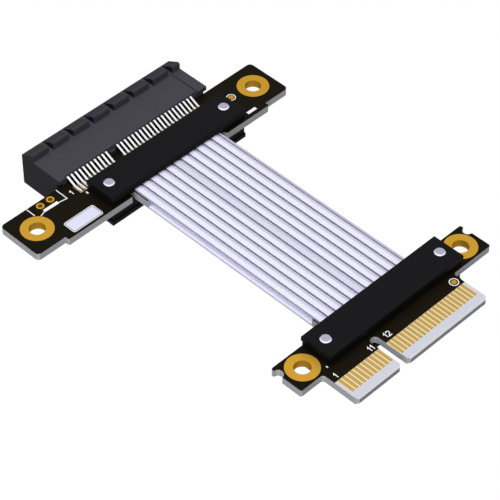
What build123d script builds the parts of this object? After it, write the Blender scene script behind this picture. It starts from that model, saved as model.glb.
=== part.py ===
"""A four-lane card-edge extension cable: a plug board and a slot board joined by two layers of flat strips.

All sizes are in millimetres. While it is built, x = 0 is the plug's first contact, y = 0 is the front
of its card edge and z = 0 is the top of both boards. The finished pieces are moved so that the origin
is the bottom centre of the whole object, with +Y from the plug to the slot and +Z up.
"""
import os

from build123d import *

# Card edge and contact rows
PITCH = 1.0
CONTACTS_BEFORE_KEY = 11
CONTACTS_AFTER_KEY = 21
KEY_STEP = 3.0
EDGE_MARGIN = 1.1
KEY_NOTCH_WIDTH = 1.9
KEY_NOTCH_DEPTH = 8.3
EDGE_CORNER = 0.55
EDGE_BEVEL_RUN = 0.6
EDGE_BEVEL_DROP = 0.25
FINGER_WIDTH = 0.7
FINGER_FRONT = 1.95
FINGER_LENGTH = 3.6
PLATING = 0.04

# Boards
BOARD_THICKNESS = 1.6
CARD_DEPTH = 8.4
EAR_DEPTH = 7.5
LEFT_RING_GAP = 0.65
RIGHT_RING_GAP = 0.05
EAR_CORNER = 0.4
EAR_ROOT_FILLET = 0.7
END_NOTCH_RADIUS = 1.05
END_NOTCH_FROM_BACK = 1.8
SLOT_BOARD_LENGTH = 67.2
SLOT_BOARD_SHIFT = -0.25
SLOT_BOARD_DEPTH = 10.8
SLOT_BOARD_CORNER = 0.9
STEP_LEFT = 6.9
STEP_RIGHT = 6.5
STEP_DEPTH = 0.95
STEP_FILLET = 0.3

# Mounting holes with plated rings
MOUNT_BORE = 3.3
MOUNT_RING = 6.6
BARREL_WALL = 0.1
PLUG_MOUNT_FROM_END = 4.2
SLOT_MOUNT_FROM_END = 4.6
WIRE_HOLE_BORE = 0.9
WIRE_HOLE_RING = 1.65
WIRE_HOLE_PITCH = 2.54
WIRE_HOLE_FROM_BACK = 1.2
WIRE_HOLE_FROM_END = 9.05
TEST_PAD = 1.1
PLUG_TEST_PAD_FROM_EDGE = 1.5
PLUG_TEST_PAD_BACK = 6.95
SLOT_TEST_PAD_FROM_BACK = 4.75

# Cable: two layers of flat strips
STRIPS = 11
STRIP_PITCH = 2.05
STRIP_WIDTH = 1.95
STRIP_THICKNESS = 0.6
STRIP_FLAT = 1.2
STRIP_LOW_HEIGHT = 0.2
STRIP_RIDGE_ROUND = 1.0
STRIP_CORNER = 0.08
EDGE_STRIP_GAP = 0.1
EDGE_STRIP_WIDTH = 0.5
EDGE_STRIP_THICKNESS = 0.3
CABLE_RUN = 49.8
CABLE_SHIFT = 2.15
STRIP_HELD = 3.2
TONGUE_LEFT_MARGIN = 0.25
RELIEF_WIDTH = 1.0
RELIEF_DEPTH = 2.0
RELIEF_CORNER = 0.4
PLUG_TONGUE_OUT = 2.8
SLOT_TONGUE_OUT = 3.55
CORES_PER_STRIP = 2
CORE_SPACING = 0.9
CORE_WIDTH = 0.3
CORE_HEIGHT = 0.3
CORE_BARE = 1.4
CORE_PAD_WIDTH = 0.6
CORE_PAD_LENGTH = 1.6

# Covers that clamp the strips, and their rivets
COVER_LENGTH = 36.1
COVER_DEPTH = 7.3
COVER_SHIFT = 0.65
LID_THICKNESS = 1.1
LID_EDGE = 0.15
UPPER_SKIRT_HEIGHT = 1.15
LOWER_SKIRT_HEIGHT = 2.4
SKIRT_INSET = 0.2
PLUG_COVER_OVERHANG = 0.3
SLOT_COVER_SETBACK = 0.55
POCKET_SIDE_GAP = 0.15
POCKET_TOP_GAP = 0.15
POCKET_BEHIND = 2.0
RIVET_FROM_END = 2.6
RIVET_SHANK = 1.6
RIVET_HOLE_GAP = 0.05
RIVET_HEAD = 2.2
RIVET_HEAD_HEIGHT = 0.35
RIVET_HEAD_CHAMFER = 0.2

# Slot housing
HOUSING_LENGTH = 39.6
HOUSING_LEFT = 2.25
HOUSING_DEPTH = 10.95
HOUSING_THICKNESS = 7.45
HOUSING_ABOVE_BOARD = 1.45
CARD_SLOT_HEIGHT = 1.8
CARD_SLOT_DEPTH = 8.2
CARD_SLOT_MARGIN = 1.25
KEY_RIB_WIDTH = 1.7
MOUTH_FLARE = 0.45
GROOVE_WIDTH = 0.6
GROOVE_DEPTH = 0.55
GROOVE_STOP = 0.8
CHAMBER_OVERLAP = 0.4
CHAMBER_GAP = 0.05
LEAD_BAY_LEFT = 0.65
LEAD_BAY_RIGHT = 1.85
LEAD_BAY_DEPTH = 0.45
LEDGE_WIDTH = 1.2
LEDGE_HEIGHT = 0.9
LEDGE_OUT = 0.35
CORNER_CUT_WIDTH = 0.85
CORNER_CUT_DEPTH = 0.9
CORNER_CUT_HEIGHT = 0.5
RIM_HEIGHT = 1.5
RIM_DEPTH = 3.3
RIM_CREST = 0.45
RIM_ROUND = 0.4
RIM_GAP_COUNT = 7
RIM_GAP_PITCH = 5.36
RIM_GAP_WIDTH = 1.15
RIM_FIRST_GAP = 4.75
END_GROOVE_FROM_END = 2.5
END_GROOVE_WIDTH = 0.3
END_GROOVE_DEPTH = 0.2
HOUSING_EDGE = 0.2

# Contacts of the slot
CONTACT_WIDTH = 0.42
CONTACT_THICKNESS = 0.2
LEAD_RISE = 1.0
FOOT_TOE = 3.8
FOOT_HEEL = 1.9
SHOULDER = 1.35
RISER_LEAN = 0.4
BEAM_BOW = 0.4
BEAM_SEAT = 0.1
TIP_LENGTH = 1.3
TIP_GAP = 0.6
SOLDER_PAD_WIDTH = 0.7
SOLDER_PAD_HEEL_GAP = 0.25
SOLDER_PAD_TOE_GAP = 0.2

SMALL = 1e-4
OVERCUT = 1.0

# Places that follow from the sizes above
ROW_LENGTH = ((CONTACTS_BEFORE_KEY - 1) + (CONTACTS_AFTER_KEY - 1)) * PITCH + KEY_STEP
KEY_X = (CONTACTS_BEFORE_KEY - 1) * PITCH + KEY_STEP / 2
CARD_LEFT = -EDGE_MARGIN
CARD_RIGHT = ROW_LENGTH + EDGE_MARGIN
CABLE_X = ROW_LENGTH / 2 + CABLE_SHIFT
COVER_X = CABLE_X + COVER_SHIFT
COVER_LEFT = COVER_X - COVER_LENGTH / 2
COVER_RIGHT = COVER_X + COVER_LENGTH / 2
PLUG_MOUNT_LEFT = COVER_LEFT + SKIRT_INSET - LEFT_RING_GAP - MOUNT_RING / 2
PLUG_MOUNT_RIGHT = COVER_RIGHT - SKIRT_INSET + RIGHT_RING_GAP + MOUNT_RING / 2
PLUG_MOUNT_Y = CARD_DEPTH + EAR_DEPTH / 2
PLUG_LEFT = PLUG_MOUNT_LEFT - PLUG_MOUNT_FROM_END
PLUG_RIGHT = PLUG_MOUNT_RIGHT + PLUG_MOUNT_FROM_END
PLUG_BACK = CARD_DEPTH + EAR_DEPTH
PLUG_COVER_FACE = PLUG_BACK + PLUG_COVER_OVERHANG
SLOT_COVER_FACE = PLUG_COVER_FACE + CABLE_RUN
SLOT_STEP_FRONT = SLOT_COVER_FACE - SLOT_COVER_SETBACK
SLOT_FRONT = SLOT_STEP_FRONT + STEP_DEPTH
SLOT_BACK = SLOT_FRONT + SLOT_BOARD_DEPTH
SLOT_MIDDLE = ROW_LENGTH / 2 + SLOT_BOARD_SHIFT
SLOT_LEFT = SLOT_MIDDLE - SLOT_BOARD_LENGTH / 2
SLOT_RIGHT = SLOT_MIDDLE + SLOT_BOARD_LENGTH / 2
SLOT_MOUNT_LEFT = SLOT_LEFT + SLOT_MOUNT_FROM_END
SLOT_MOUNT_RIGHT = SLOT_RIGHT - SLOT_MOUNT_FROM_END
SLOT_MOUNT_Y = SLOT_FRONT + SLOT_BOARD_DEPTH / 2
HOUSING_X = -HOUSING_LEFT
MOUTH_Y = SLOT_BACK + HOUSING_DEPTH
HOUSING_BOTTOM = HOUSING_ABOVE_BOARD - HOUSING_THICKNESS
CARD_SLOT_Z = HOUSING_ABOVE_BOARD - HOUSING_THICKNESS / 2
CHAMBER_DEPTH = HOUSING_DEPTH - CARD_SLOT_DEPTH + CHAMBER_OVERLAP
BEAM_LENGTH = HOUSING_DEPTH - SHOULDER - RISER_LEAN - TIP_LENGTH - GROOVE_STOP - TIP_GAP
STRIP_SPAN = (STRIPS - 1) * STRIP_PITCH + STRIP_WIDTH
STRIP_LENGTH = CABLE_RUN + 2 * STRIP_HELD
CABLE_LEFT = CABLE_X - STRIP_SPAN / 2
EDGE_STRIP_LEFT = CABLE_X + STRIP_SPAN / 2 + EDGE_STRIP_GAP
CABLE_RIGHT = EDGE_STRIP_LEFT + EDGE_STRIP_WIDTH
TONGUE_LEFT = CABLE_LEFT - TONGUE_LEFT_MARGIN
BOARD_MIDDLE_Z = -BOARD_THICKNESS / 2
UPPER_COVER_TOP = UPPER_SKIRT_HEIGHT + LID_THICKNESS
LOWER_COVER_TOP = LOWER_SKIRT_HEIGHT + LID_THICKNESS
OBJECT_CENTRE_X = (min(SLOT_LEFT, PLUG_LEFT) + max(SLOT_RIGHT, PLUG_RIGHT)) / 2
OBJECT_CENTRE_Y = MOUTH_Y / 2
TO_OWN_FRAME = Pos(-OBJECT_CENTRE_X, -OBJECT_CENTRE_Y, -HOUSING_BOTTOM)
OTHER_SIDE = Plane.XY.offset(BOARD_MIDDLE_Z)


def contact_places():
    """The x of each contact: the plug's and the slot's rows lie in line."""
    before = [i * PITCH for i in range(CONTACTS_BEFORE_KEY)]
    after_start = before[-1] + KEY_STEP
    return before + [after_start + i * PITCH for i in range(CONTACTS_AFTER_KEY)]


def block(x0, x1, y0, y1, z0, z1):
    """A box between two corners."""
    centre = Pos((x0 + x1) / 2, (y0 + y1) / 2, (z0 + z1) / 2)
    return centre * Box(x1 - x0, y1 - y0, z1 - z0)


def plate(x0, x1, y0, y1):
    """A rectangle between two corners, for a board's outline."""
    return Pos((x0 + x1) / 2, (y0 + y1) / 2) * Rectangle(x1 - x0, y1 - y0)


def carried(profile, x0, x1):
    """A profile drawn in the y-z plane, carried from one x to another."""
    half = (x1 - x0) / 2
    return Pos((x0 + x1) / 2, 0, 0) * extrude(Plane.YZ * profile, amount=half, both=True)


def shape_corners(outline, corners, size, operation=fillet):
    """Rounds or cuts the corners of an outline that lie at the given places."""
    picked = outline.vertices().filter_by(
        lambda v: any(abs(v.X - x) < SMALL and abs(v.Y - y) < SMALL for x, y in corners)
    )
    return operation(picked, size)


def underside(piece):
    """The same piece on the other face of the boards."""
    return mirror(piece, OTHER_SIDE)


def group(pieces):
    """Separate solids kept together in one piece of the part."""
    return Compound(children=list(pieces))


def keep(name, shape):
    """Writes one piece in the object's own frame."""
    export_step(TO_OWN_FRAME * shape, f"parts/{name}.step")


# Boards
def tongue(y_from, y_to):
    """The narrow stretch of a board that carries the strips."""
    return plate(TONGUE_LEFT, CABLE_RIGHT, y_from, y_to)


def with_reliefs(outline, root_y, inwards):
    """An outline with a round-ended milled notch on each side of its tongue's root."""
    half = RELIEF_WIDTH / 2
    end = root_y + inwards * (RELIEF_DEPTH - half)
    y0, y1 = sorted((root_y - inwards * OVERCUT, end))
    for x in (TONGUE_LEFT - half, CABLE_RIGHT + half):
        outline -= plate(x - half, x + half, y0, y1) + Pos(x, end) * Circle(half)
    mouths = [(TONGUE_LEFT - RELIEF_WIDTH, root_y), (CABLE_RIGHT + RELIEF_WIDTH, root_y)]
    return shape_corners(outline, mouths, RELIEF_CORNER)


def rivet_places(cover_face, inwards):
    """The centres of a cover's two rivets."""
    y = cover_face + inwards * COVER_DEPTH / 2
    return [(COVER_LEFT + RIVET_FROM_END, y), (COVER_RIGHT - RIVET_FROM_END, y)]


def drilled(outline, places, radius):
    """An outline with a round hole at each place."""
    for x, y in places:
        outline -= Pos(x, y) * Circle(radius)
    return outline


def key_notch():
    """The card edge's notch, with its round end."""
    half = KEY_NOTCH_WIDTH / 2
    straight = plate(KEY_X - half, KEY_X + half, -OVERCUT, KEY_NOTCH_DEPTH - half)
    return straight + Pos(KEY_X, KEY_NOTCH_DEPTH - half) * Circle(half)


PLUG_MOUNTS = [(PLUG_MOUNT_LEFT, PLUG_MOUNT_Y), (PLUG_MOUNT_RIGHT, PLUG_MOUNT_Y)]
SLOT_MOUNTS = [(SLOT_MOUNT_LEFT, SLOT_MOUNT_Y), (SLOT_MOUNT_RIGHT, SLOT_MOUNT_Y)]
WIRE_HOLES = [
    (SLOT_LEFT + WIRE_HOLE_FROM_END + i * WIRE_HOLE_PITCH, SLOT_BACK - WIRE_HOLE_FROM_BACK)
    for i in range(2)
]


def plug_board():
    """The board with the card edge, its two ears and the tongue under the strips."""
    outline = plate(CARD_LEFT, CARD_RIGHT, 0, CARD_DEPTH + EAR_DEPTH / 2)
    outline += plate(PLUG_LEFT, PLUG_RIGHT, CARD_DEPTH, PLUG_BACK)
    outline += tongue(PLUG_BACK - EAR_DEPTH / 2, PLUG_COVER_FACE + PLUG_TONGUE_OUT)
    outline -= key_notch()
    half = KEY_NOTCH_WIDTH / 2
    edge_corners = [(x, 0) for x in (CARD_LEFT, KEY_X - half, KEY_X + half, CARD_RIGHT)]
    outline = shape_corners(outline, edge_corners, EDGE_CORNER, chamfer)
    roots = [(CARD_LEFT, CARD_DEPTH), (CARD_RIGHT, CARD_DEPTH)]
    outline = shape_corners(outline, roots, EAR_ROOT_FILLET)
    ear_corners = [(x, y) for x in (PLUG_LEFT, PLUG_RIGHT) for y in (CARD_DEPTH, PLUG_BACK)]
    outline = shape_corners(outline, ear_corners, EAR_CORNER)
    outline = with_reliefs(outline, PLUG_BACK, -1)
    end_notches = [(x, PLUG_BACK - END_NOTCH_FROM_BACK) for x in (PLUG_LEFT, PLUG_RIGHT)]
    outline = drilled(outline, end_notches, END_NOTCH_RADIUS)
    outline = drilled(outline, PLUG_MOUNTS, MOUNT_BORE / 2 + BARREL_WALL)
    outline = drilled(outline, rivet_places(PLUG_COVER_FACE, -1), RIVET_SHANK / 2 + RIVET_HOLE_GAP)
    board = extrude(outline, amount=-BOARD_THICKNESS)
    section = Polygon(
        (-OVERCUT, OVERCUT),
        (-OVERCUT, -EDGE_BEVEL_DROP),
        (0, -EDGE_BEVEL_DROP),
        (EDGE_BEVEL_RUN, 0),
        (EDGE_BEVEL_RUN, OVERCUT),
        align=None,
    )
    bevel = carried(section, CARD_LEFT, CARD_RIGHT)
    return board - bevel - underside(bevel)


def slot_board():
    """The board that carries the slot, with its stepped front and its tongue."""
    step_left = SLOT_LEFT + STEP_LEFT
    step_right = SLOT_RIGHT - STEP_RIGHT
    outline = plate(SLOT_LEFT, SLOT_RIGHT, SLOT_FRONT, SLOT_BACK)
    ends = [(x, y) for x in (SLOT_LEFT, SLOT_RIGHT) for y in (SLOT_FRONT, SLOT_BACK)]
    outline = shape_corners(outline, ends, SLOT_BOARD_CORNER)
    outline += plate(step_left, step_right, SLOT_STEP_FRONT, SLOT_MOUNT_Y)
    steps = [(x, SLOT_STEP_FRONT) for x in (step_left, step_right)]
    outline = shape_corners(outline, steps, STEP_FILLET)
    outline += tongue(SLOT_COVER_FACE - SLOT_TONGUE_OUT, SLOT_MOUNT_Y)
    outline = with_reliefs(outline, SLOT_STEP_FRONT, 1)
    outline = drilled(outline, SLOT_MOUNTS, MOUNT_BORE / 2 + BARREL_WALL)
    outline = drilled(outline, WIRE_HOLES, WIRE_HOLE_BORE / 2 + BARREL_WALL)
    outline = drilled(outline, rivet_places(SLOT_COVER_FACE, 1), RIVET_SHANK / 2 + RIVET_HOLE_GAP)
    return extrude(outline, amount=-BOARD_THICKNESS)


def plated_ring(place, bore, ring):
    """A plated hole: a barrel through the board with a flat ring on each face."""
    inner = bore / 2
    low = -BOARD_THICKNESS
    section = Plane.XZ * Polygon(
        (inner, low - PLATING),
        (ring / 2, low - PLATING),
        (ring / 2, low),
        (inner + BARREL_WALL, low),
        (inner + BARREL_WALL, 0),
        (ring / 2, 0),
        (ring / 2, PLATING),
        (inner, PLATING),
        align=None,
    )
    return Pos(*place, 0) * revolve(section, Axis.Z)


def card_fingers():
    """The gold fingers on the top of the card edge."""
    half = FINGER_WIDTH / 2
    back = FINGER_FRONT + FINGER_LENGTH
    return group(
        block(x - half, x + half, FINGER_FRONT, back, 0, PLATING) for x in contact_places()
    )


def test_pad(x, y):
    """A small round gold pad on the top of a board."""
    return Pos(x, y, PLATING / 2) * Cylinder(TEST_PAD / 2, PLATING)


# Cable
def strip_places():
    """The x of each strip's middle."""
    first = CABLE_X - (STRIPS - 1) * STRIP_PITCH / 2
    return [first + i * STRIP_PITCH for i in range(STRIPS)]


def strip(x):
    """One strip from inside one cover to inside the other, its top sloping down on the right."""
    left = -STRIP_WIDTH / 2
    corner = (left, STRIP_THICKNESS)
    ridge = (left + STRIP_FLAT, STRIP_THICKNESS)
    section = Polygon((left, 0), (-left, 0), (-left, STRIP_LOW_HEIGHT), ridge, corner, align=None)
    section = shape_corners(section, [corner], STRIP_CORNER)
    section = shape_corners(section, [ridge], STRIP_RIDGE_ROUND)
    start = PLUG_COVER_FACE - STRIP_HELD
    return Pos(x, start, 0) * extrude(Plane.XZ * section, amount=-STRIP_LENGTH)


def edge_strip():
    """The narrow blank strip that ends a layer on the right."""
    start = PLUG_COVER_FACE - STRIP_HELD
    return block(EDGE_STRIP_LEFT, CABLE_RIGHT, start, start + STRIP_LENGTH, 0, EDGE_STRIP_THICKNESS)


def core_places():
    """The x of each bare core, some in each strip."""
    first = -(CORES_PER_STRIP - 1) * CORE_SPACING / 2
    return [x + first + i * CORE_SPACING for x in strip_places() for i in range(CORES_PER_STRIP)]


def core_ends(strip_end, inwards):
    """The bare ends of the cores, flattened onto their pads."""
    half = CORE_WIDTH / 2
    y0, y1 = sorted((strip_end, strip_end + inwards * CORE_BARE))
    top = PLATING + CORE_HEIGHT
    return group(block(x - half, x + half, y0, y1, PLATING, top) for x in core_places())


def core_pads(strip_end, inwards):
    """The pads that the cores are soldered to."""
    half = CORE_PAD_WIDTH / 2
    y0, y1 = sorted((strip_end, strip_end + inwards * CORE_PAD_LENGTH))
    return group(block(x - half, x + half, y0, y1, 0, PLATING) for x in core_places())


# Covers and rivets
def cover(cover_face, inwards, skirt_height):
    """A cover on the top of a board: a lid with a set-in skirt that has a pocket for the strips."""
    y0, y1 = sorted((cover_face, cover_face + inwards * COVER_DEPTH))
    lid = block(COVER_LEFT, COVER_RIGHT, y0, y1, skirt_height, skirt_height + LID_THICKNESS)
    lid = fillet(lid.edges().group_by(Axis.Z)[-1], LID_EDGE)
    skirt_left = COVER_LEFT + SKIRT_INSET
    skirt_right = COVER_RIGHT - SKIRT_INSET
    skirt = block(skirt_left, skirt_right, y0 + SKIRT_INSET, y1 - SKIRT_INSET, 0, skirt_height)
    pocket_end = cover_face + inwards * (STRIP_HELD + POCKET_BEHIND)
    p0, p1 = sorted((cover_face - inwards * OVERCUT, pocket_end))
    pocket_top = STRIP_THICKNESS + POCKET_TOP_GAP
    left = CABLE_LEFT - POCKET_SIDE_GAP
    right = CABLE_RIGHT + POCKET_SIDE_GAP
    pocket = block(left, right, p0, p1, -OVERCUT, pocket_top)
    shell = lid + skirt - pocket
    for x, y in rivet_places(cover_face, inwards):
        hole = Cylinder(RIVET_SHANK / 2 + RIVET_HOLE_GAP, 2 * (skirt_height + LID_THICKNESS) + OVERCUT)
        shell -= Pos(x, y, 0) * hole
    return shell


def rivet(x, y):
    """A rivet through a board and its two covers, with a low flat head at each end."""
    head = Cylinder(RIVET_HEAD / 2, RIVET_HEAD_HEIGHT, align=(Align.CENTER, Align.CENTER, Align.MIN))
    head = chamfer(head.edges().group_by(Axis.Z)[-1], RIVET_HEAD_CHAMFER)
    upper = Pos(x, y, UPPER_COVER_TOP) * head
    lower = underside(Pos(x, y, LOWER_COVER_TOP) * head)
    length = UPPER_COVER_TOP + BOARD_THICKNESS + LOWER_COVER_TOP
    shank = Pos(x, y, UPPER_COVER_TOP - length / 2) * Cylinder(RIVET_SHANK / 2, length)
    return shank + upper + lower


# Slot housing
def card_slot_boxes():
    """The two pockets that the card edge enters, one on each side of the key rib."""
    ends = [
        (-CARD_SLOT_MARGIN, KEY_X - KEY_RIB_WIDTH / 2),
        (KEY_X + KEY_RIB_WIDTH / 2, ROW_LENGTH + CARD_SLOT_MARGIN),
    ]
    half = CARD_SLOT_HEIGHT / 2
    for x0, x1 in ends:
        yield block(
            x0, x1, MOUTH_Y - CARD_SLOT_DEPTH, MOUTH_Y + OVERCUT, CARD_SLOT_Z - half, CARD_SLOT_Z + half
        )


def mouth_flare():
    """The sloping lead-in around the whole mouth of the card slot."""
    length = ROW_LENGTH + 2 * CARD_SLOT_MARGIN
    opening = Plane((ROW_LENGTH / 2, MOUTH_Y, CARD_SLOT_Z), x_dir=(1, 0, 0), z_dir=(0, -1, 0))
    sketch = Rectangle(length + 2 * MOUTH_FLARE, CARD_SLOT_HEIGHT + 2 * MOUTH_FLARE)
    return extrude(opening * sketch, amount=MOUTH_FLARE, taper=45)


def rim():
    """The sloped rim along the mouth, broken by gaps, on the upper face of the housing."""
    top = HOUSING_ABOVE_BOARD
    crest_y = MOUTH_Y - RIM_DEPTH + RIM_CREST
    section = Polygon(
        (MOUTH_Y, top),
        (crest_y, top + RIM_HEIGHT),
        (MOUTH_Y - RIM_DEPTH, top + RIM_HEIGHT - RIM_CREST / 2),
        (MOUTH_Y - RIM_DEPTH, top),
        align=None,
    )
    crests = [(crest_y, top + RIM_HEIGHT)]
    section = shape_corners(section, crests, RIM_ROUND)
    ridge = carried(section, HOUSING_X, HOUSING_X + HOUSING_LENGTH)
    for i in range(RIM_GAP_COUNT):
        x = HOUSING_X + RIM_FIRST_GAP + i * RIM_GAP_PITCH
        half = RIM_GAP_WIDTH / 2
        ridge -= block(
            x - half, x + half, crest_y - RIM_DEPTH, MOUTH_Y + OVERCUT, top, top + RIM_HEIGHT + OVERCUT
        )
    return ridge


def lead_bay():
    """The sloped recess that the upper leads leave the housing through."""
    top = HOUSING_ABOVE_BOARD
    inner = SLOT_BACK + LEAD_BAY_DEPTH
    section = Polygon(
        (SLOT_BACK - OVERCUT, top - LEAD_BAY_DEPTH),
        (SLOT_BACK, top - LEAD_BAY_DEPTH),
        (inner, top),
        (inner, top + OVERCUT),
        (SLOT_BACK - OVERCUT, top + OVERCUT),
        align=None,
    )
    return carried(section, -LEAD_BAY_LEFT, ROW_LENGTH + LEAD_BAY_RIGHT)


def corner_cuts():
    """The cuts that free the corners of the board's back edge, one at each end of the housing."""
    x1 = HOUSING_X + HOUSING_LENGTH
    ends = [(HOUSING_X - OVERCUT, HOUSING_X + CORNER_CUT_WIDTH), (x1 - CORNER_CUT_WIDTH, x1 + OVERCUT)]
    inner = SLOT_BACK + CORNER_CUT_DEPTH
    for left, right in ends:
        yield block(left, right, SLOT_BACK - OVERCUT, inner, -BOARD_THICKNESS, CORNER_CUT_HEIGHT)


def housing_cuts():
    """Each contact's groove beside the card slot and its chamber to the leads, for both rows."""
    slot_half = CARD_SLOT_HEIGHT / 2
    half = GROOVE_WIDTH / 2
    bottom = MOUTH_Y - CARD_SLOT_DEPTH
    reach = SLOT_BACK + CHAMBER_DEPTH
    above_lead = CONTACT_THICKNESS / 2 + CHAMBER_GAP
    upper_exit = LEAD_Z + above_lead
    lower_exit = 2 * BOARD_MIDDLE_Z - LEAD_Z + above_lead
    upper = CARD_SLOT_Z + slot_half
    lower = CARD_SLOT_Z - slot_half
    for x in contact_places():
        x0, x1 = x - half, x + half
        yield block(x0, x1, bottom - SMALL, MOUTH_Y - GROOVE_STOP, upper - SMALL, upper + GROOVE_DEPTH)
        yield block(x0, x1, bottom - SMALL, MOUTH_Y - GROOVE_STOP, lower - GROOVE_DEPTH, lower + SMALL)
        yield block(x0, x1, SLOT_BACK - OVERCUT, reach, upper - SMALL, upper_exit)
        yield block(x0, x1, SLOT_BACK - OVERCUT, reach, lower - GROOVE_DEPTH, lower_exit)


def slot_housing():
    """The moulded slot body, open towards +Y."""
    x1 = HOUSING_X + HOUSING_LENGTH
    body = block(HOUSING_X, x1, SLOT_BACK, MOUTH_Y, HOUSING_BOTTOM, HOUSING_ABOVE_BOARD)
    low_edges = body.edges().group_by(Axis.Z)[0].filter_by(Axis.X)
    body = fillet(low_edges, HOUSING_EDGE)
    body += rim()
    for cut in card_slot_boxes():
        body -= cut
    body -= mouth_flare()
    body -= lead_bay()
    for cut in corner_cuts():
        body -= cut
    half = LEDGE_WIDTH / 2
    body += block(KEY_X - half, KEY_X + half, SLOT_BACK - LEDGE_OUT, SLOT_BACK, 0, LEDGE_HEIGHT)
    groove_x = x1 - END_GROOVE_FROM_END
    body -= block(
        groove_x - END_GROOVE_WIDTH / 2,
        groove_x + END_GROOVE_WIDTH / 2,
        SLOT_BACK - OVERCUT,
        MOUTH_Y - RIM_DEPTH,
        HOUSING_ABOVE_BOARD - END_GROOVE_DEPTH,
        HOUSING_ABOVE_BOARD + OVERCUT,
    )
    return body - list(housing_cuts())


# Contacts of the slot
FOOT_Z = PLATING + CONTACT_THICKNESS / 2
LEAD_Z = FOOT_Z + LEAD_RISE
TOE_Y = SLOT_BACK - FOOT_TOE
HEEL_Y = SLOT_BACK - FOOT_HEEL
GROOVE_ARM = CARD_SLOT_HEIGHT / 2 + GROOVE_DEPTH - CONTACT_THICKNESS / 2 - BEAM_SEAT


def bent_strip(route, x):
    """A strip of sheet metal along a route in the y-z plane, as wide as a contact, at one x."""
    half = CONTACT_THICKNESS / 2
    one_side = []
    other_side = []
    runs = [(Vector(*end) - Vector(*start)).normalized() for start, end in zip(route, route[1:])]
    for (y, z), behind, ahead in zip(route, runs[:1] + runs, runs + runs[-1:]):
        along = (ahead + behind).normalized()
        across = Vector(-along.Y, along.X)
        stretch = half / across.dot(Vector(-ahead.Y, ahead.X))
        one_side.append((y + across.X * stretch, z + across.Y * stretch))
        other_side.append((y - across.X * stretch, z - across.Y * stretch))
    section = Polygon(*one_side, *reversed(other_side), align=None)
    return carried(section, x - CONTACT_WIDTH / 2, x + CONTACT_WIDTH / 2)


def contact_route(side):
    """The bends of one contact: foot, lead, shoulder, riser, beam and tip. side is 1 above, -1 below."""
    shoulder_y = SLOT_BACK + SHOULDER
    riser_y = shoulder_y + RISER_LEAN
    bow_y = riser_y + BEAM_LENGTH
    arm_z = CARD_SLOT_Z + side * GROOVE_ARM
    bow_z = arm_z - side * BEAM_BOW
    board_route = [(TOE_Y, FOOT_Z), (HEEL_Y, FOOT_Z), (SLOT_BACK + BEAM_SEAT, LEAD_Z), (shoulder_y, LEAD_Z)]
    if side < 0:
        board_route = [(y, 2 * BOARD_MIDDLE_Z - z) for y, z in board_route]
    return board_route + [(riser_y, arm_z), (bow_y, bow_z), (bow_y + TIP_LENGTH, arm_z)]


def contact_row(side):
    """One row of the slot's contacts."""
    route = contact_route(side)
    return group(bent_strip(route, x) for x in contact_places())


def solder_pads():
    """The pads under the upper row's feet."""
    half = SOLDER_PAD_WIDTH / 2
    y0 = TOE_Y - SOLDER_PAD_TOE_GAP
    y1 = HEEL_Y + SOLDER_PAD_HEEL_GAP
    return group(block(x - half, x + half, y0, y1, 0, PLATING) for x in contact_places())


def build():
    """Makes every piece and writes it."""
    os.makedirs("parts", exist_ok=True)
    keep("plug_board", plug_board())
    keep("slot_board", slot_board())
    for side, places in (("plug", PLUG_MOUNTS), ("slot", SLOT_MOUNTS)):
        for end, place in zip(("left", "right"), places):
            keep(f"{side}_ring_{end}", plated_ring(place, MOUNT_BORE, MOUNT_RING))
    keep("slot_wire_rings", group(plated_ring(p, WIRE_HOLE_BORE, WIRE_HOLE_RING) for p in WIRE_HOLES))
    fingers = card_fingers()
    keep("plug_fingers_upper", fingers)
    keep("plug_fingers_lower", underside(fingers))
    keep("plug_test_pad", test_pad(CARD_RIGHT - PLUG_TEST_PAD_FROM_EDGE, PLUG_TEST_PAD_BACK))
    pad_x = (COVER_RIGHT + SLOT_MOUNT_RIGHT - MOUNT_RING / 2) / 2
    keep("slot_test_pad", test_pad(pad_x, SLOT_BACK - SLOT_TEST_PAD_FROM_BACK))
    ends = (("plug", PLUG_COVER_FACE, -1), ("slot", SLOT_COVER_FACE, 1))
    for side, face, inwards in ends:
        strip_end = face + inwards * STRIP_HELD
        keep(f"{side}_cover_upper", cover(face, inwards, UPPER_SKIRT_HEIGHT))
        keep(f"{side}_cover_lower", underside(cover(face, inwards, LOWER_SKIRT_HEIGHT)))
        pieces = {
            "core_ends": core_ends(strip_end, inwards),
            "core_pads": core_pads(strip_end, inwards),
        }
        for name, piece in pieces.items():
            keep(f"{side}_{name}_upper", piece)
            keep(f"{side}_{name}_lower", underside(piece))
        for end, (x, y) in zip(("left", "right"), rivet_places(face, inwards)):
            keep(f"{side}_rivet_{end}", rivet(x, y))
    for i, x in enumerate(strip_places(), 1):
        piece = strip(x)
        keep(f"cable_strip_upper_{i:02d}", piece)
        keep(f"cable_strip_lower_{i:02d}", underside(piece))
    keep("cable_edge_upper", edge_strip())
    keep("cable_edge_lower", underside(edge_strip()))
    keep("slot_housing", slot_housing())
    pads = solder_pads()
    keep("slot_solder_pads_upper", pads)
    keep("slot_solder_pads_lower", underside(pads))
    keep("slot_contacts_upper", contact_row(1))
    keep("slot_contacts_lower", contact_row(-1))


build()
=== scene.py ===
"""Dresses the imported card-edge extension cable with its finishes, prints and solder.

Sizes are in millimetres from the plug: x from its first contact, y from the front of its card edge
and z from the top of both boards. own() turns such points into metres in the object's own frame.
"""

import logging
import math
from dataclasses import dataclass, replace
from enum import Enum

import bpy
import numpy as np
from mathutils import Matrix, Vector


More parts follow.
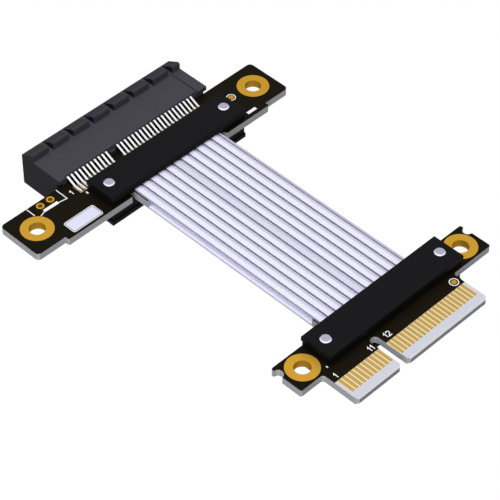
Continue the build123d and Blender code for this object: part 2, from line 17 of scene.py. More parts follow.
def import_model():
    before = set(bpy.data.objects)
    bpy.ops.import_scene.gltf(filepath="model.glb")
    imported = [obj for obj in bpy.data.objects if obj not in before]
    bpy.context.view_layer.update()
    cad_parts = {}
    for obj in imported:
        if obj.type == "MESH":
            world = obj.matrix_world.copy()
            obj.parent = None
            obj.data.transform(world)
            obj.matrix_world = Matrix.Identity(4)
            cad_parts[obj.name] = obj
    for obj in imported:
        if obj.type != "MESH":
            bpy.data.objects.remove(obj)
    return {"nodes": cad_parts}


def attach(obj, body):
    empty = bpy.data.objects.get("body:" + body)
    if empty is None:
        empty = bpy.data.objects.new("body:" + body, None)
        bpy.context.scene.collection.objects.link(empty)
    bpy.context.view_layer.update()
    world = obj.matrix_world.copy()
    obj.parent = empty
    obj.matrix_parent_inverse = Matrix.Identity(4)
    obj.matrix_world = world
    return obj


LOG = logging.getLogger("extension_cable")
MILLIMETRE = 0.001
FRAME_ORIGIN = np.array((16.25, 44.075, -6.0))
BODY = "root"

PITCH = 1.0
CONTACTS_BEFORE_KEY = 11
CONTACTS_AFTER_KEY = 21
KEY_STEP = 3.0
BOARD_THICKNESS = 1.6
SLOT_BACK = 77.2
PLATING = 0.04
INK_THICKNESS = 0.03
TRACE_WIDTH = 0.22
TRACE_THICKNESS = 0.015
PAD_RING_RADIUS = 0.88
PAD_RING_LINE = 0.19
CIRCLE_POINTS = 40
CORNER_POINTS = 7
GRAIN_DETAIL = 2.0

Point = tuple[float, float]
Path = tuple[Point, ...]
Place = tuple[float, float, float]


class Face(Enum):
    """The two faces of the boards, each with the way it looks along z."""

    UPPER = 1
    LOWER = -1


def own(points: np.ndarray | Place) -> np.ndarray:
    """Plug millimetres to the object's own frame in metres.

    Args:
        points: one x, y, z or an array of such rows.

    Returns:
        The same points, in metres.
    """
    return (np.asarray(points, dtype=float) - FRAME_ORIGIN) * MILLIMETRE


def linear(code: str) -> tuple[float, float, float, float]:
    """An sRGB hex colour as linear RGBA, by the standard sRGB curve.

    Args:
        code: six hex digits.

    Returns:
        Red, green, blue and alpha.
    """
    parts = np.array([int(code[i:i + 2], 16) for i in (0, 2, 4)]) / 255
    curve = np.where(parts <= 0.04045, parts / 12.92, ((parts + 0.055) / 1.055) ** 2.4)
    return (*curve.tolist(), 1.0)


def contact_places() -> np.ndarray:
    """The x of each contact of a row: eleven, the key's step, then twenty-one more.

    Returns:
        The values of x, from left to right.
    """
    before = np.arange(CONTACTS_BEFORE_KEY) * PITCH
    after = before[-1] + KEY_STEP + np.arange(CONTACTS_AFTER_KEY) * PITCH
    return np.concatenate((before, after))


def on_face(height: np.ndarray | float, face: Face) -> np.ndarray | float:
    """Heights above a face as z: up from the top, or down from the bottom.

    Args:
        height: millimetres outwards from the face.
        face: the board's face.

    Returns:
        The z of each height.
    """
    return height if face is Face.UPPER else -BOARD_THICKNESS - height


# Meshes
@dataclass
class Shell:
    """A mesh as arrays: points in plug millimetres and faces as rows of point numbers."""

    points: np.ndarray
    faces: list[np.ndarray]

    def flipped(self) -> "Shell":
        """The same shell with its faces turned round."""
        return Shell(self.points, [rows[:, ::-1] for rows in self.faces])


def joined(shells: list[Shell]) -> Shell:
    """Several shells as one, each one's point numbers moved past those before it.

    Args:
        shells: the shells in their order.

    Returns:
        One shell.
    """
    starts = np.cumsum([0] + [len(shell.points) for shell in shells[:-1]])
    points = np.concatenate([shell.points for shell in shells])
    faces = [rows + start for shell, start in zip(shells, starts) for rows in shell.faces]
    return Shell(points, faces)


def slab(outline: np.ndarray, thickness: float) -> Shell:
    """A flat closed layer on the upper face: the outline low and high, capped, with walls between.

    Args:
        outline: x, y rows, anticlockwise.
        thickness: the layer's height above the face.

    Returns:
        The layer's shell.
    """
    count = len(outline)
    rings = [np.column_stack((outline, np.full(count, z))) for z in (0.0, thickness)]
    here = np.arange(count)
    ahead = np.roll(here, -1)
    walls = np.column_stack((here, ahead, ahead + count, here + count))
    top = (here + count)[None, :]
    bottom = here[::-1][None, :]
    return Shell(np.concatenate(rings), [walls, top, bottom])


def stroke(line: np.ndarray, width: float, closed: bool = False) -> np.ndarray:
    """Both edges of a pen stroke: each point moved sideways along the mean of its two normals.

    The move is half the width over the cosine of half the bend, so the stroke keeps its width.

    Args:
        line: x, y rows along the stroke's middle.
        width: the stroke's width.
        closed: whether the last point joins the first.

    Returns:
        An array of left and right edge points, stacked.
    """
    steps = np.diff(line, axis=0, append=line[:1]) if closed else np.diff(line, axis=0)
    steps = steps / np.linalg.norm(steps, axis=1, keepdims=True)
    ahead = steps if closed else np.vstack((steps, steps[-1:]))
    behind = np.roll(steps, 1, axis=0) if closed else np.vstack((steps[:1], steps))
    mean = ahead + behind
    mean /= np.linalg.norm(mean, axis=1, keepdims=True)
    stretch = (width / 2) / np.sum(mean * ahead, axis=1, keepdims=True)
    across = np.column_stack((-mean[:, 1], mean[:, 0])) * stretch
    return np.stack((line + across, line - across))


def ribbon(
    line: np.ndarray | Path, width: float, face: Face, thickness: float, closed: bool = False
) -> Shell:
    """A printed or etched line: a rectangular profile carried along a path on a board's face.

    Args:
        line: x, y rows along the middle of the line.
        width: the line's width.
        face: the board's face.
        thickness: the line's height above the face.
        closed: whether the line closes on itself.

    Returns:
        The line's shell.
    """
    left, right = stroke(np.asarray(line, dtype=float), width, closed)
    count = len(left)
    low = np.full(count, on_face(0.0, face))
    high = np.full(count, on_face(thickness, face))
    profile = ((right, low), (left, low), (left, high), (right, high))
    points = np.concatenate([np.column_stack(edge) for edge in profile])
    here = np.arange(count if closed else count - 1)
    ahead = (here + 1) % count
    edges = np.arange(len(profile)) * count
    walls = [
        np.column_stack((here + edge, here + following, ahead + following, ahead + edge))
        for edge, following in zip(edges, np.roll(edges, -1))
    ]
    ends = [] if closed else [edges[None, :], (edges + count - 1)[None, ::-1]]
    shell = Shell(points, walls + ends).flipped()
    return shell if face is Face.UPPER else shell.flipped()


def arc(centre: Point, radius: float, start: float, end: float, count: int) -> np.ndarray:
    """Points on an arc: the centre plus the radius times the cosine and sine of each angle.

    Args:
        centre: x and y of the arc's centre.
        radius: its radius.
        start: the first angle in degrees.
        end: the last angle in degrees.
        count: the number of points.

    Returns:
        x, y rows.
    """
    angles = np.radians(np.linspace(start, end, count))
    return np.array(centre) + radius * np.column_stack((np.cos(angles), np.sin(angles)))


def circle(centre: Point, radius: float) -> np.ndarray:
    """Points round a whole circle, without the first one again."""
    return arc(centre, radius, 0, 360, CIRCLE_POINTS + 1)[:-1]


def round_rectangle(x0: float, x1: float, y0: float, y1: float, radius: float) -> np.ndarray:
    """A rectangle's outline, its corners quarter arcs of the given radius.

    Args:
        x0: left side.
        x1: right side.
        y0: front side.
        y1: back side.
        radius: the corners' radius.

    Returns:
        x, y rows, anticlockwise.
    """
    left, right = x0 + radius, x1 - radius
    front, back = y0 + radius, y1 - radius
    centres = ((right, back), (left, back), (left, front), (right, front))
    starts = range(0, 360, 90)
    quarters = [arc(c, radius, s, s + 90, CORNER_POINTS) for c, s in zip(centres, starts)]
    return np.concatenate(quarters)


def printed(line: np.ndarray | Path, width: float, closed: bool = False) -> Shell:
    """A line of ink on the upper face."""
    return ribbon(line, width, Face.UPPER, INK_THICKNESS, closed)


def pad_ring(centre: Point) -> Shell:
    """The printed ring round a test pad."""
    return printed(circle(centre, PAD_RING_RADIUS), PAD_RING_LINE, closed=True)


def trace(line: Path, face: Face) -> Shell:
    """A copper trace under the mask of a face."""
    return ribbon(line, TRACE_WIDTH, face, TRACE_THICKNESS)


def put(name: str, data: bpy.types.ID) -> bpy.types.Object:
    """Puts a mesh, light or camera into the scene.

    Args:
        name: the object's name.
        data: what it holds.

    Returns:
        The new object.
    """
    thing = bpy.data.objects.new(name, data)
    bpy.context.scene.collection.objects.link(thing)
    return thing


def make_piece(
    name: str,
    shell: Shell,
    material: bpy.types.Material,
    smooth: bool = False,
) -> None:
    """Puts a shell into the scene as one piece that rides on the object.

    Args:
        name: the piece's name.
        shell: its points and faces.
        material: its finish.
        smooth: whether its shading is smooth.
    """
    mesh = bpy.data.meshes.new(name)
    faces = [row for rows in shell.faces for row in rows.tolist()]
    mesh.from_pydata(own(shell.points).tolist(), [], faces)
    mesh.materials.append(material)
    mesh.polygons.foreach_set("use_smooth", np.full(len(mesh.polygons), smooth))
    mesh.update()
    piece = put(name, mesh)
    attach(piece, BODY)
    LOG.info("%s: %d faces", name, len(mesh.polygons))


# Materials
def feed(tree: bpy.types.NodeTree, node: bpy.types.Node, links: dict) -> None:
    """Sets a node's inputs, or links them.

    Args:
        tree: the material's or world's tree.
        node: the node.
        links: input name or number to a value, or to an output of another node.
    """
    for key, value in links.items():
        if isinstance(value, bpy.types.NodeSocket):
            tree.links.new(value, node.inputs[key])
        else:
            node.inputs[key].default_value = value


def add_node(
    tree: bpy.types.NodeTree, kind: str, links: dict | None = None, **settings: object
) -> bpy.types.Node:
    """Adds a node to a tree.

    Args:
        tree: the material's or world's tree.
        kind: the node's type.
        links: input name or number to a value, or to an output of another node.
        settings: attributes of the node.

    Returns:
        The new node.
    """
    node = tree.nodes.new(kind)
    for key, value in settings.items():
        setattr(node, key, value)
    feed(tree, node, links or {})
    return node


def socket_math(
    tree: bpy.types.NodeTree, operation: str, *values: object
) -> bpy.types.NodeSocket:
    """The output of one sum or comparison of sockets and numbers.

    Args:
        tree: the material's or world's tree.
        operation: the sum or comparison.
        values: one or two sockets or numbers.

    Returns:
        The result's socket.
    """
    return add_node(tree, "ShaderNodeMath", dict(enumerate(values)), operation=operation).outputs[0]


def product(tree: bpy.types.NodeTree, first: object, *others: object) -> bpy.types.NodeSocket:
    """The product of two or more shares.

    Args:
        tree: the material's or world's tree.
        first: a socket or number.
        others: more of them.

    Returns:
        The product's socket.
    """
    result = first
    for other in others:
        result = socket_math(tree, "MULTIPLY", result, other)
    return result


def mixed_colour(
    tree: bpy.types.NodeTree, share: object, first: object, second: object
) -> bpy.types.NodeSocket:
    """The output of a mix of two colours.

    Args:
        tree: the material's tree.
        share: how much of the second colour, 0 to 1.
        first: a colour or a socket.
        second: a colour or a socket.

    Returns:
        The mixed colour's socket.
    """
    # A mix node keeps its colours in inputs 6 and 7 and in output 2.
    links = {0: share, 6: first, 7: second}
    return add_node(tree, "ShaderNodeMix", links, data_type="RGBA").outputs[2]


def mixed_shader(
    tree: bpy.types.NodeTree, share: object, first: bpy.types.Node, second: bpy.types.Node
) -> bpy.types.Node:
    """A mix of two shaders.

    Args:
        tree: the material's or world's tree.
        share: how much of the second shader, 0 to 1.
        first: a shader node.
        second: a shader node.

    Returns:
        The mix's node.
    """
    links = {0: share, 1: first.outputs[0], 2: second.outputs[0]}
    return add_node(tree, "ShaderNodeMixShader", links)


def empty_tree(owner: bpy.types.Material | bpy.types.World) -> bpy.types.NodeTree:
    """Clears the node tree of a material or world.

    Args:
        owner: the material or world.

    Returns:
        Its tree, without nodes.
    """
    owner.use_nodes = True
    owner.node_tree.nodes.clear()
    return owner.node_tree


def blank_material(name: str) -> tuple[bpy.types.Material, bpy.types.NodeTree, bpy.types.Node]:
    """A new material with only its shader and output.

    Args:
        name: the material's name.

    Returns:
        The material, its tree and its Principled shader.
    """
    material = bpy.data.materials.new(name)
    tree = empty_tree(material)
    shader = add_node(tree, "ShaderNodeBsdfPrincipled")
    add_node(tree, "ShaderNodeOutputMaterial", {"Surface": shader.outputs["BSDF"]})
    return material, tree, shader


def grain(tree: bpy.types.NodeTree, shader: bpy.types.Node, size: float, depth: float) -> None:
    """Gives a shader a fine surface grain in Object coordinates.

    Args:
        tree: the material's tree.
        shader: its Principled shader.
        size: the grain's width in millimetres.
        depth: its height in millimetres.
    """
    place = add_node(tree, "ShaderNodeTexCoord").outputs["Object"]
    pattern = {"Vector": place, "Scale": 1 / (size * MILLIMETRE), "Detail": GRAIN_DETAIL}
    noise = add_node(tree, "ShaderNodeTexNoise", pattern)
    relief = {"Height": noise.outputs["Fac"], "Strength": 1.0, "Distance": depth * MILLIMETRE}
    bump = add_node(tree, "ShaderNodeBump", relief)
    feed(tree, shader, {"Normal": bump.outputs["Normal"]})


@dataclass(frozen=True)
class Slant:
    """Faces that lean one way: none of the share at one value of the normal, all at another."""

    axis: str
    none_at: float
    all_at: float

    def share(self, tree: bpy.types.NodeTree) -> bpy.types.NodeSocket:
        """The share at each face, from one part of its normal.

        Args:
            tree: the material's tree.

        Returns:
            A socket from 0 to 1.
        """
        normal = add_node(tree, "ShaderNodeNewGeometry").outputs["True Normal"]
        part = add_node(tree, "ShaderNodeSeparateXYZ", {0: normal}).outputs[self.axis]
        limits = {"Value": part, "From Min": self.none_at, "From Max": self.all_at}
        return add_node(tree, "ShaderNodeMapRange", limits).outputs["Result"]


@dataclass(frozen=True)
class Lean(Slant):
    """A second colour for the faces of a slant."""

    colour: str


# Faces that the light from above reaches, more the more they look up.
LIT_FROM_ABOVE = Slant("Z", -0.9, 0.9)
# Faces at the front of a board, and among them the bevels.
FRONT_FACES = Slant("Y", -0.1, -0.2)
BEVEL_FACES = Slant("Y", -0.9, -0.5)
# Facets at corners look along both of these; the boards paint them with a highlight.
CORNER_FACETS = (Slant("X", -0.35, -0.6), Slant("Y", -0.35, -0.6))


@dataclass(frozen=True)
class Finish:
    """A plain finish: one colour, one gloss and a fine grain."""

    name: str
    colour: str
    roughness: float
    metallic: float = 0.0
    specular: float = 0.5
    ior: float = 1.5
    grain_size: float = 0.2
    grain_depth: float = 0.0
    leans: tuple[Lean, ...] = ()
    glow: float = 0.0
    grazing_tint: str = "ffffff"

    def make(self) -> bpy.types.Material:
        """Builds the material, with its second colours on the faces that lean.

        Returns:
            The new material.
        """
        material, tree, shader = blank_material(self.name)
        colour = linear(self.colour)
        for lean in self.leans:
            colour = mixed_colour(tree, lean.share(tree), colour, linear(lean.colour))
        feed(tree, shader, {
            "Base Color": colour,
            "Roughness": self.roughness,
            "Metallic": self.metallic,
            "Specular Tint": linear(self.grazing_tint),
        })
        if not self.metallic:
            feed(tree, shader, {"Specular IOR Level": self.specular, "IOR": self.ior})
        # The glow is painted light: an emission in the finish's own colour, strongest on faces that
        # look up.
        if self.glow:
            strength = product(tree, LIT_FROM_ABOVE.share(tree), self.glow)
            feed(tree, shader, {
                "Emission Color": linear(self.colour),
                "Emission Strength": strength,
            })
        if self.grain_depth:
            grain(tree, shader, self.grain_size, self.grain_depth)
        return material


# Electroless gold over nickel on copper pads: warm, satin and without tarnish. The barrels' walls
# have a tone of their own and the gold's grazing reflection is tinted dark brown, a painted shade
# that makes the holes' barrels a little darker.
PAD_GOLD = Finish(
    "immersion_gold_plating", "b28a30", 0.6, metallic=1.0, grain_size=0.15, grain_depth=0.002,
    leans=(Lean("Z", 0.9, 0.5, "b48b31"),), grazing_tint="5c4615",
)
# The same gold where solder has wetted the pads beside the leads' feet: paler and creamy.
WETTED_GOLD = Finish("wetted_gold_plating", "dcc090", 0.36, metallic=1.0)
# Hard gold on the card edge: paler and smoother than the pads.
FINGER_GOLD = Finish(
    "hard_gold_plating", "b79956", 0.34, metallic=1.0, grain_size=0.12, grain_depth=0.001
)
# Bright tin over a copper alloy, stamped and bent: pale above, and painted dark on the sides that
# face left, a painted shade from the neighbouring leads.
LEAD_TIN = Finish(
    "bright_tin_plating", "e8e8ea", 0.3, metallic=0.8, leans=(Lean("X", -0.4, -0.8, "38383c"),)
)
# Reflowed solder: smooth and bright, drawn up the feet of the leads.
SOLDER = Finish("reflowed_solder", "e9e6e2", 0.25, metallic=0.9)
# Headed aluminium rivets: satin and a little cold on top; the bevel is painted bright, a painted
# highlight where it catches the light.
RIVET_METAL = Finish(
    "headed_aluminium", "a7a5b8", 0.32, metallic=1.0, grain_size=0.1, grain_depth=0.001,
    leans=(Lean("Z", 0.97, 0.9, "ececf8"),),
)
# Moulded black ABS with a fine spark-eroded grain: dull.
COVER_PLASTIC = Finish(
    "moulded_black_abs", "141416", 0.5, specular=0.03, grain_size=0.09, grain_depth=0.004
)
# Moulded glass-filled nylon of the slot: dark grey and duller than the covers. Its faces are tinted
# by the way they face, painted light and shade: darker on the faces that look back, on the leaning
# front faces and on the left end, and a little lighter on the upright front faces.
SLOT_PLASTIC = Finish(
    "moulded_grey_nylon", "403f47", 0.6, specular=0.08, grain_size=0.12, grain_depth=0.005,
    leans=(
        Lean("Y", 0.2, 0.4, "1c1b21"), Lean("Y", -0.2, -0.4, "2d2d32"),
        Lean("Y", -0.8, -0.95, "4e4d56"), Lean("X", -0.7, -0.95, "1f1e25"),
    ),
)
# Screen-printed epoxy ink: flat white.
PRINT_INK = Finish("screen_printed_white_ink", "f4f4f8", 0.65, specular=0.2)
# The same ink over the label field, where the dark lacquer dulls it to a faint lavender.
FIELD_INK = Finish("screen_printed_field_ink", "dcdcf2", 0.65, specular=0.2)
# Etched copper under the mask: the same lacquer, a shade lighter where it runs over the metal.
MASKED_COPPER = Finish("lacquer_over_copper_traces", "181309", 0.42, specular=0.04)
# Bare drawn copper of the cores.
CORE_COPPER = Finish("bare_drawn_copper", "c9825f", 0.35, metallic=1.0)
# Smooth extruded fluoropolymer jacket: pale lavender white with a soft gloss. Its sloping side,
# which faces away from the light, is painted grey as a painted shade, and its upright side is
# painted darker as the painted shade of the groove between two strips.
SHADED_SLOPE = Lean("X", 0.02, 0.12, "d6d5ea")
GROOVE_SHADE = Lean("X", -0.8, -0.95, "a09eaa")
JACKET = Finish(
    "extruded_fluoropolymer_jacket", "e9e8fc", 0.38, specular=0.1, ior=1.38,
    leans=(SHADED_SLOPE, GROOVE_SHADE),
)
# The upper outer strip has no groove on its left, so it keeps only the painted shade of its slope.
OUTER_JACKET = replace(JACKET, name="extruded_outer_jacket", leans=(SHADED_SLOPE,))
# One strip of the upper layer is duller than its neighbours.
DULL_JACKET = replace(
    JACKET, name="extruded_dull_jacket", colour="d9d8ec", roughness=0.5,
    leans=(replace(SHADED_SLOPE, colour="cfcee3"), GROOVE_SHADE),
)
# The thin strip at the edge is greyer, and the upright side of the groove beside it is painted
# darker still, a painted shade.
EDGE_JACKET = replace(
    JACKET, name="extruded_edge_jacket", colour="bcbbcf", roughness=0.45,
    leans=(replace(GROOVE_SHADE, colour="6c6a74"),),
)
# The lower outer strip glows faintly on its faces that look up: painted light, an emission that
# lifts it out of the shade under the upper layer.
LOWER_JACKET = replace(JACKET, name="extruded_jacket_with_painted_glow", leans=(), glow=0.38)


@dataclass(frozen=True)
class BoardFinish:
    """Lacquered glass-fibre board: dark mask on its faces, pale bare laminate at its edges."""

    name: str
    mask_end: float | None = None
    mask: str = "130f07"
    laminate: str = "cdd0da"
    resin: str = "f0dfbb"
    edge: str = "e2e2e8"
    # Painted light and shade: a highlight on the corner facets, and lit and shaded tones of the
    # fibre on the card edge's front and bevels.
    corner_highlight: str = "ffffff"
    front: str = "c4c4ca"
    bevel: str = "d6d8e0"
    bevel_end: float = 2.0
    finger_front: float = 1.95
    face_margin: float = 0.02
    roughness: float = 0.45
    specular: float = 0.03
    grain_size: float = 0.25
    grain_depth: float = 0.003

    def make(self) -> bpy.types.Material:
        """Builds the material: the bare edges lie within a height of the board's middle.

        Returns:
            The new material.
        """
        material, tree, shader = blank_material(self.name)
        place = add_node(tree, "ShaderNodeTexCoord").outputs["Object"]
        x, y, z = add_node(tree, "ShaderNodeSeparateXYZ", {0: place}).outputs
        middle = own((0, 0, -BOARD_THICKNESS / 2))[2]
        half = (BOARD_THICKNESS / 2 - self.face_margin) * MILLIMETRE
        away = socket_math(tree, "ABSOLUTE", socket_math(tree, "SUBTRACT", z, middle))
        side = socket_math(tree, "LESS_THAN", away, half)
        colour = mixed_colour(tree, side, self.face_colour(tree, x, y), self.edge_colour(tree, y))
        feed(tree, shader, {
            "Base Color": colour,
            "Roughness": self.roughness,
            "Specular IOR Level": self.specular,
        })
        grain(tree, shader, self.grain_size, self.grain_depth)
        return material

    def face_colour(
        self, tree: bpy.types.NodeTree, x: bpy.types.NodeSocket, y: bpy.types.NodeSocket
    ) -> object:
        """The mask of the faces, bare laminate before its end and resin between the fingers.

        Args:
            tree: the material's tree.
            x: the place across the object, in metres.
            y: the place along the object, in metres.

        Returns:
            A colour or its socket.
        """
        mask = linear(self.mask)
        if self.mask_end is None:
            return mask
        left_end = own((-PITCH / 2, 0, 0))[0]
        right_end = own((contact_places()[-1] + PITCH / 2, 0, 0))[0]
        bare = socket_math(tree, "LESS_THAN", y, own((0, self.mask_end, 0))[1])
        among = product(
            tree, bare,
            socket_math(tree, "GREATER_THAN", y, own((0, self.finger_front, 0))[1]),
            socket_math(tree, "GREATER_THAN", x, left_end),
            socket_math(tree, "LESS_THAN", x, right_end),
        )
        colour = mixed_colour(tree, bare, mask, linear(self.laminate))
        return mixed_colour(tree, among, colour, linear(self.resin))

    def edge_colour(self, tree: bpy.types.NodeTree, y: bpy.types.NodeSocket) -> object:
        """The bare glass fibre of the edges, with painted light and shade: lit and shaded tones on
        the card edge's front and bevels, and a painted highlight on the corner facets.

        Args:
            tree: the material's tree.
            y: the place along the object, in metres.

        Returns:
            The colour's socket.
        """
        colour = linear(self.edge)
        if self.mask_end is not None:
            near = socket_math(tree, "LESS_THAN", y, own((0, self.bevel_end, 0))[1])
            milled = product(tree, near, FRONT_FACES.share(tree))
            bevelled = BEVEL_FACES.share(tree)
            front = mixed_colour(tree, bevelled, linear(self.front), linear(self.bevel))
            colour = mixed_colour(tree, milled, colour, front)
        corner_highlight = product(tree, *(slant.share(tree) for slant in CORNER_FACETS))
        return mixed_colour(tree, corner_highlight, colour, linear(self.corner_highlight))


def finish_nodes(names: list[str], material: bpy.types.Material) -> None:
    """Gives CAD nodes a finish through their objects' material slots.

    Args:
        names: the nodes.
        material: the finish.
    """
    for name in names:
        for slot in FRAME["nodes"][name].material_slots:
            slot.material = material
    LOG.info("%s on %d nodes", material.name, len(names))


# Numerals
class Numeral:
    """Plain printed digits, each a pen path in a box one unit high."""

    PATHS = {
        "1": np.array(((0.08, 0.72), (0.34, 1.0), (0.34, 0.0))),
        "2": np.concatenate((arc((0.33, 0.69), 0.3, 165, -35, 12), ((0.04, 0.0), (0.66, 0.0)))),
    }
    ADVANCE = {"1": 0.62, "2": 0.86}
    HEIGHT = 1.15
    PEN_WIDTH = 0.17 * HEIGHT

    @classmethod
    def word(cls, digits: str, x: float, y: float) -> Shell:
        """A short number printed on a board's upper face, its first digit's foot at x, y.

        Args:
            digits: the number.
            x: left edge.
            y: foot.

        Returns:
            The number's shell.
        """
        shells = []
        across = x
        for digit in digits:
            path = cls.PATHS[digit] * cls.HEIGHT + np.array((across, y))
            shells.append(printed(path, cls.PEN_WIDTH))
            across += cls.ADVANCE[digit] * cls.HEIGHT
        return joined(shells)


# Sub-assemblies
@dataclass
class PlugEnd:
    """The board with the card edge: its prints and the copper that shows through its mask."""

    mask_end: float = 5.59
    numerals: tuple[tuple[str, float, float], ...] = (
        ("1", 0.0, 6.05), ("11", 8.9, 6.05), ("12", 13.4, 6.3),
    )
    pad_centre: Point = (32.6, 6.95)
    mark: Path = ((0.7, 8.9), (0.7, 9.4))
    mark_width: float = 0.22
    jog_start: float = 6.9
    jog_end: float = 7.5
    jog_width: float = 0.35
    jog_turn: float = 1.7
    trace_end: float = 9.5

    def prints(self) -> Shell:
        """The white print: contact numbers, the ring round the test pad and a small mark.

        Returns:
            The print's shell.
        """
        shells = [Numeral.word(*numeral) for numeral in self.numerals]
        shells.append(pad_ring(self.pad_centre))
        shells.append(printed(self.mark, self.mark_width))
        return joined(shells)

    def traces(self, face: Face) -> Shell:
        """The traces from the fingers under the cover; each jogs by the sine of its turn.

        Args:
            face: the board's face.

        Returns:
            The traces' shell.
        """
        shells = []
        for i, x in enumerate(contact_places()):
            aside = x + self.jog_width * math.sin(self.jog_turn * i)
            line = (
                (x, self.mask_end), (x, self.jog_start),
                (aside, self.jog_end), (aside, self.trace_end),
            )
            shells.append(trace(line, face))
        return joined(shells)

    def build(self, ink: bpy.types.Material, copper: bpy.types.Material) -> None:
        """Makes the plug board's prints and traces.

        Args:
            ink: the print's finish.
            copper: the traces' finish.
        """
        make_piece("plug_print", self.prints(), ink)
        for face in Face:
            name = f"plug_traces_{face.name.lower()}"
            make_piece(name, self.traces(face), copper)


@dataclass
class SlotEnd:
    """The board that carries the slot: its prints, label field and traces."""

    label: tuple[float, float, float, float] = (-8.5, -0.95, 66.02, 69.3)
    label_line: float = 0.16
    label_corner: float = 0.4
    field_inset: float = 0.28
    field_corner: float = 0.25
    pad_centre: Point = (39.65, 72.45)
    numeral: tuple[str, float, float] = ("1", -1.9, 73.95)
    outlines: tuple[Path, ...] = (
        ((-10.8, 77.1), (-10.8, 74.75)),
        ((-10.0, 73.85), (-8.7, 74.3)),
        ((-5.15, 74.25), (-3.25, 73.95), (-3.25, 77.15)),
    )
    outline_width: float = 0.2
    left_bar: Path = ((-8.7, 74.45), (-5.15, 74.4))
    left_bar_width: float = 0.72
    right_bar: Path = ((38.6, 66.72), (40.95, 66.72))
    right_bar_width: float = 0.7
    mark: Path = ((0.55, 72.1), (0.55, 72.75))
    mark_width: float = 0.3
    trace_line: tuple[float, float] = (SLOT_BACK - 4.0, SLOT_BACK - 5.2)

    def label_outline(self, inset: float, radius: float) -> np.ndarray:
        """The label's rounded outline, drawn in by an inset.

        Args:
            inset: how far the outline lies inside the label's sides.
            radius: its corners' radius.

        Returns:
            x, y rows, anticlockwise.
        """
        x0, x1, y0, y1 = self.label
        return round_rectangle(x0 + inset, x1 - inset, y0 + inset, y1 - inset, radius)

    def prints(self) -> Shell:
        """The white print: outlines by the wire holes, bars, a contact number and the label.

        Returns:
            The print's shell.
        """
        label = self.label_outline(self.label_line / 2, self.label_corner)
        shells = [printed(line, self.outline_width) for line in self.outlines]
        shells += [
            printed(self.left_bar, self.left_bar_width),
            printed(self.right_bar, self.right_bar_width),
            printed(self.mark, self.mark_width),
            printed(label, self.label_line, closed=True),
            Numeral.word(*self.numeral),
            pad_ring(self.pad_centre),
        ]
        return joined(shells)

    def label_field(self) -> Shell:
        """The blank pale field inside the label's outline."""
        return slab(self.label_outline(self.field_inset, self.field_corner), INK_THICKNESS)

    def traces(self, face: Face) -> Shell:
        """The traces from the slot's pads back under the cover.

        Args:
            face: the board's face.

        Returns:
            The traces' shell.
        """
        start, end = self.trace_line
        return joined([trace(((x, start), (x, end)), face) for x in contact_places()])

    def build(self, ink: bpy.types.Material, copper: bpy.types.Material) -> None:
        """Makes the slot board's prints and traces.

        Args:
            ink: the print's finish.
            copper: the traces' finish.
        """
        make_piece("slot_print", self.prints(), ink)
        make_piece("slot_label_field", self.label_field(), FIELD_INK.make())
        for face in Face:
            name = f"slot_traces_{face.name.lower()}"
            make_piece(name, self.traces(face), copper)


@dataclass
class FootSolder:
    """The solder that has drawn up round the feet of the slot's leads."""

    half_width: float = 0.27
    half_length: float = 0.95
    height: float = 0.13
    middle: float = SLOT_BACK - 2.85
    round_steps: int = 12
    rise_steps: int = 4

    def shell(self, face: Face) -> Shell:
        """Half ellipsoids on the pads: x and y from the cosines of two angles, z from a sine.

        Args:
            face: the board's face.

        Returns:
            The shell of a whole row.
        """
        turn = np.linspace(0, 2 * np.pi, self.round_steps, endpoint=False)
        rise = np.linspace(0, np.pi / 2, self.rise_steps + 1)[:-1]
        turns, rises = np.meshgrid(turn, rise)
        x = self.half_width * np.cos(turns) * np.cos(rises)
        y = self.half_length * np.sin(turns) * np.cos(rises)
        z = PLATING + self.height * np.sin(rises)
        dome = np.column_stack((x.ravel(), y.ravel(), on_face(z.ravel(), face)))
        dome = np.vstack((dome, (0, 0, on_face(PLATING + self.height, face))))
        here = np.arange(self.round_steps)
        ahead = np.roll(here, -1)
        rings = np.arange(self.rise_steps) * self.round_steps
        faces = [
            np.column_stack((here + low, ahead + low, ahead + high, here + high))
            for low, high in zip(rings[:-1], rings[1:])
        ]
        peak = np.full(self.round_steps, len(dome) - 1)
        faces.append(np.column_stack((here + rings[-1], ahead + rings[-1], peak)))
        faces.append(here[::-1][None, :])
        one = Shell(dome, faces)
        one = one if face is Face.UPPER else one.flipped()
        places = [np.array((x, self.middle, 0)) for x in contact_places()]
        return joined([Shell(one.points + place, one.faces) for place in places])

    def build(self, solder: bpy.types.Material) -> None:
        """Makes the solder of both rows.

        Args:
            solder: its finish.
        """
        for face in Face:
            name = f"slot_solder_{face.name.lower()}"
            make_piece(name, self.shell(face), solder, smooth=True)


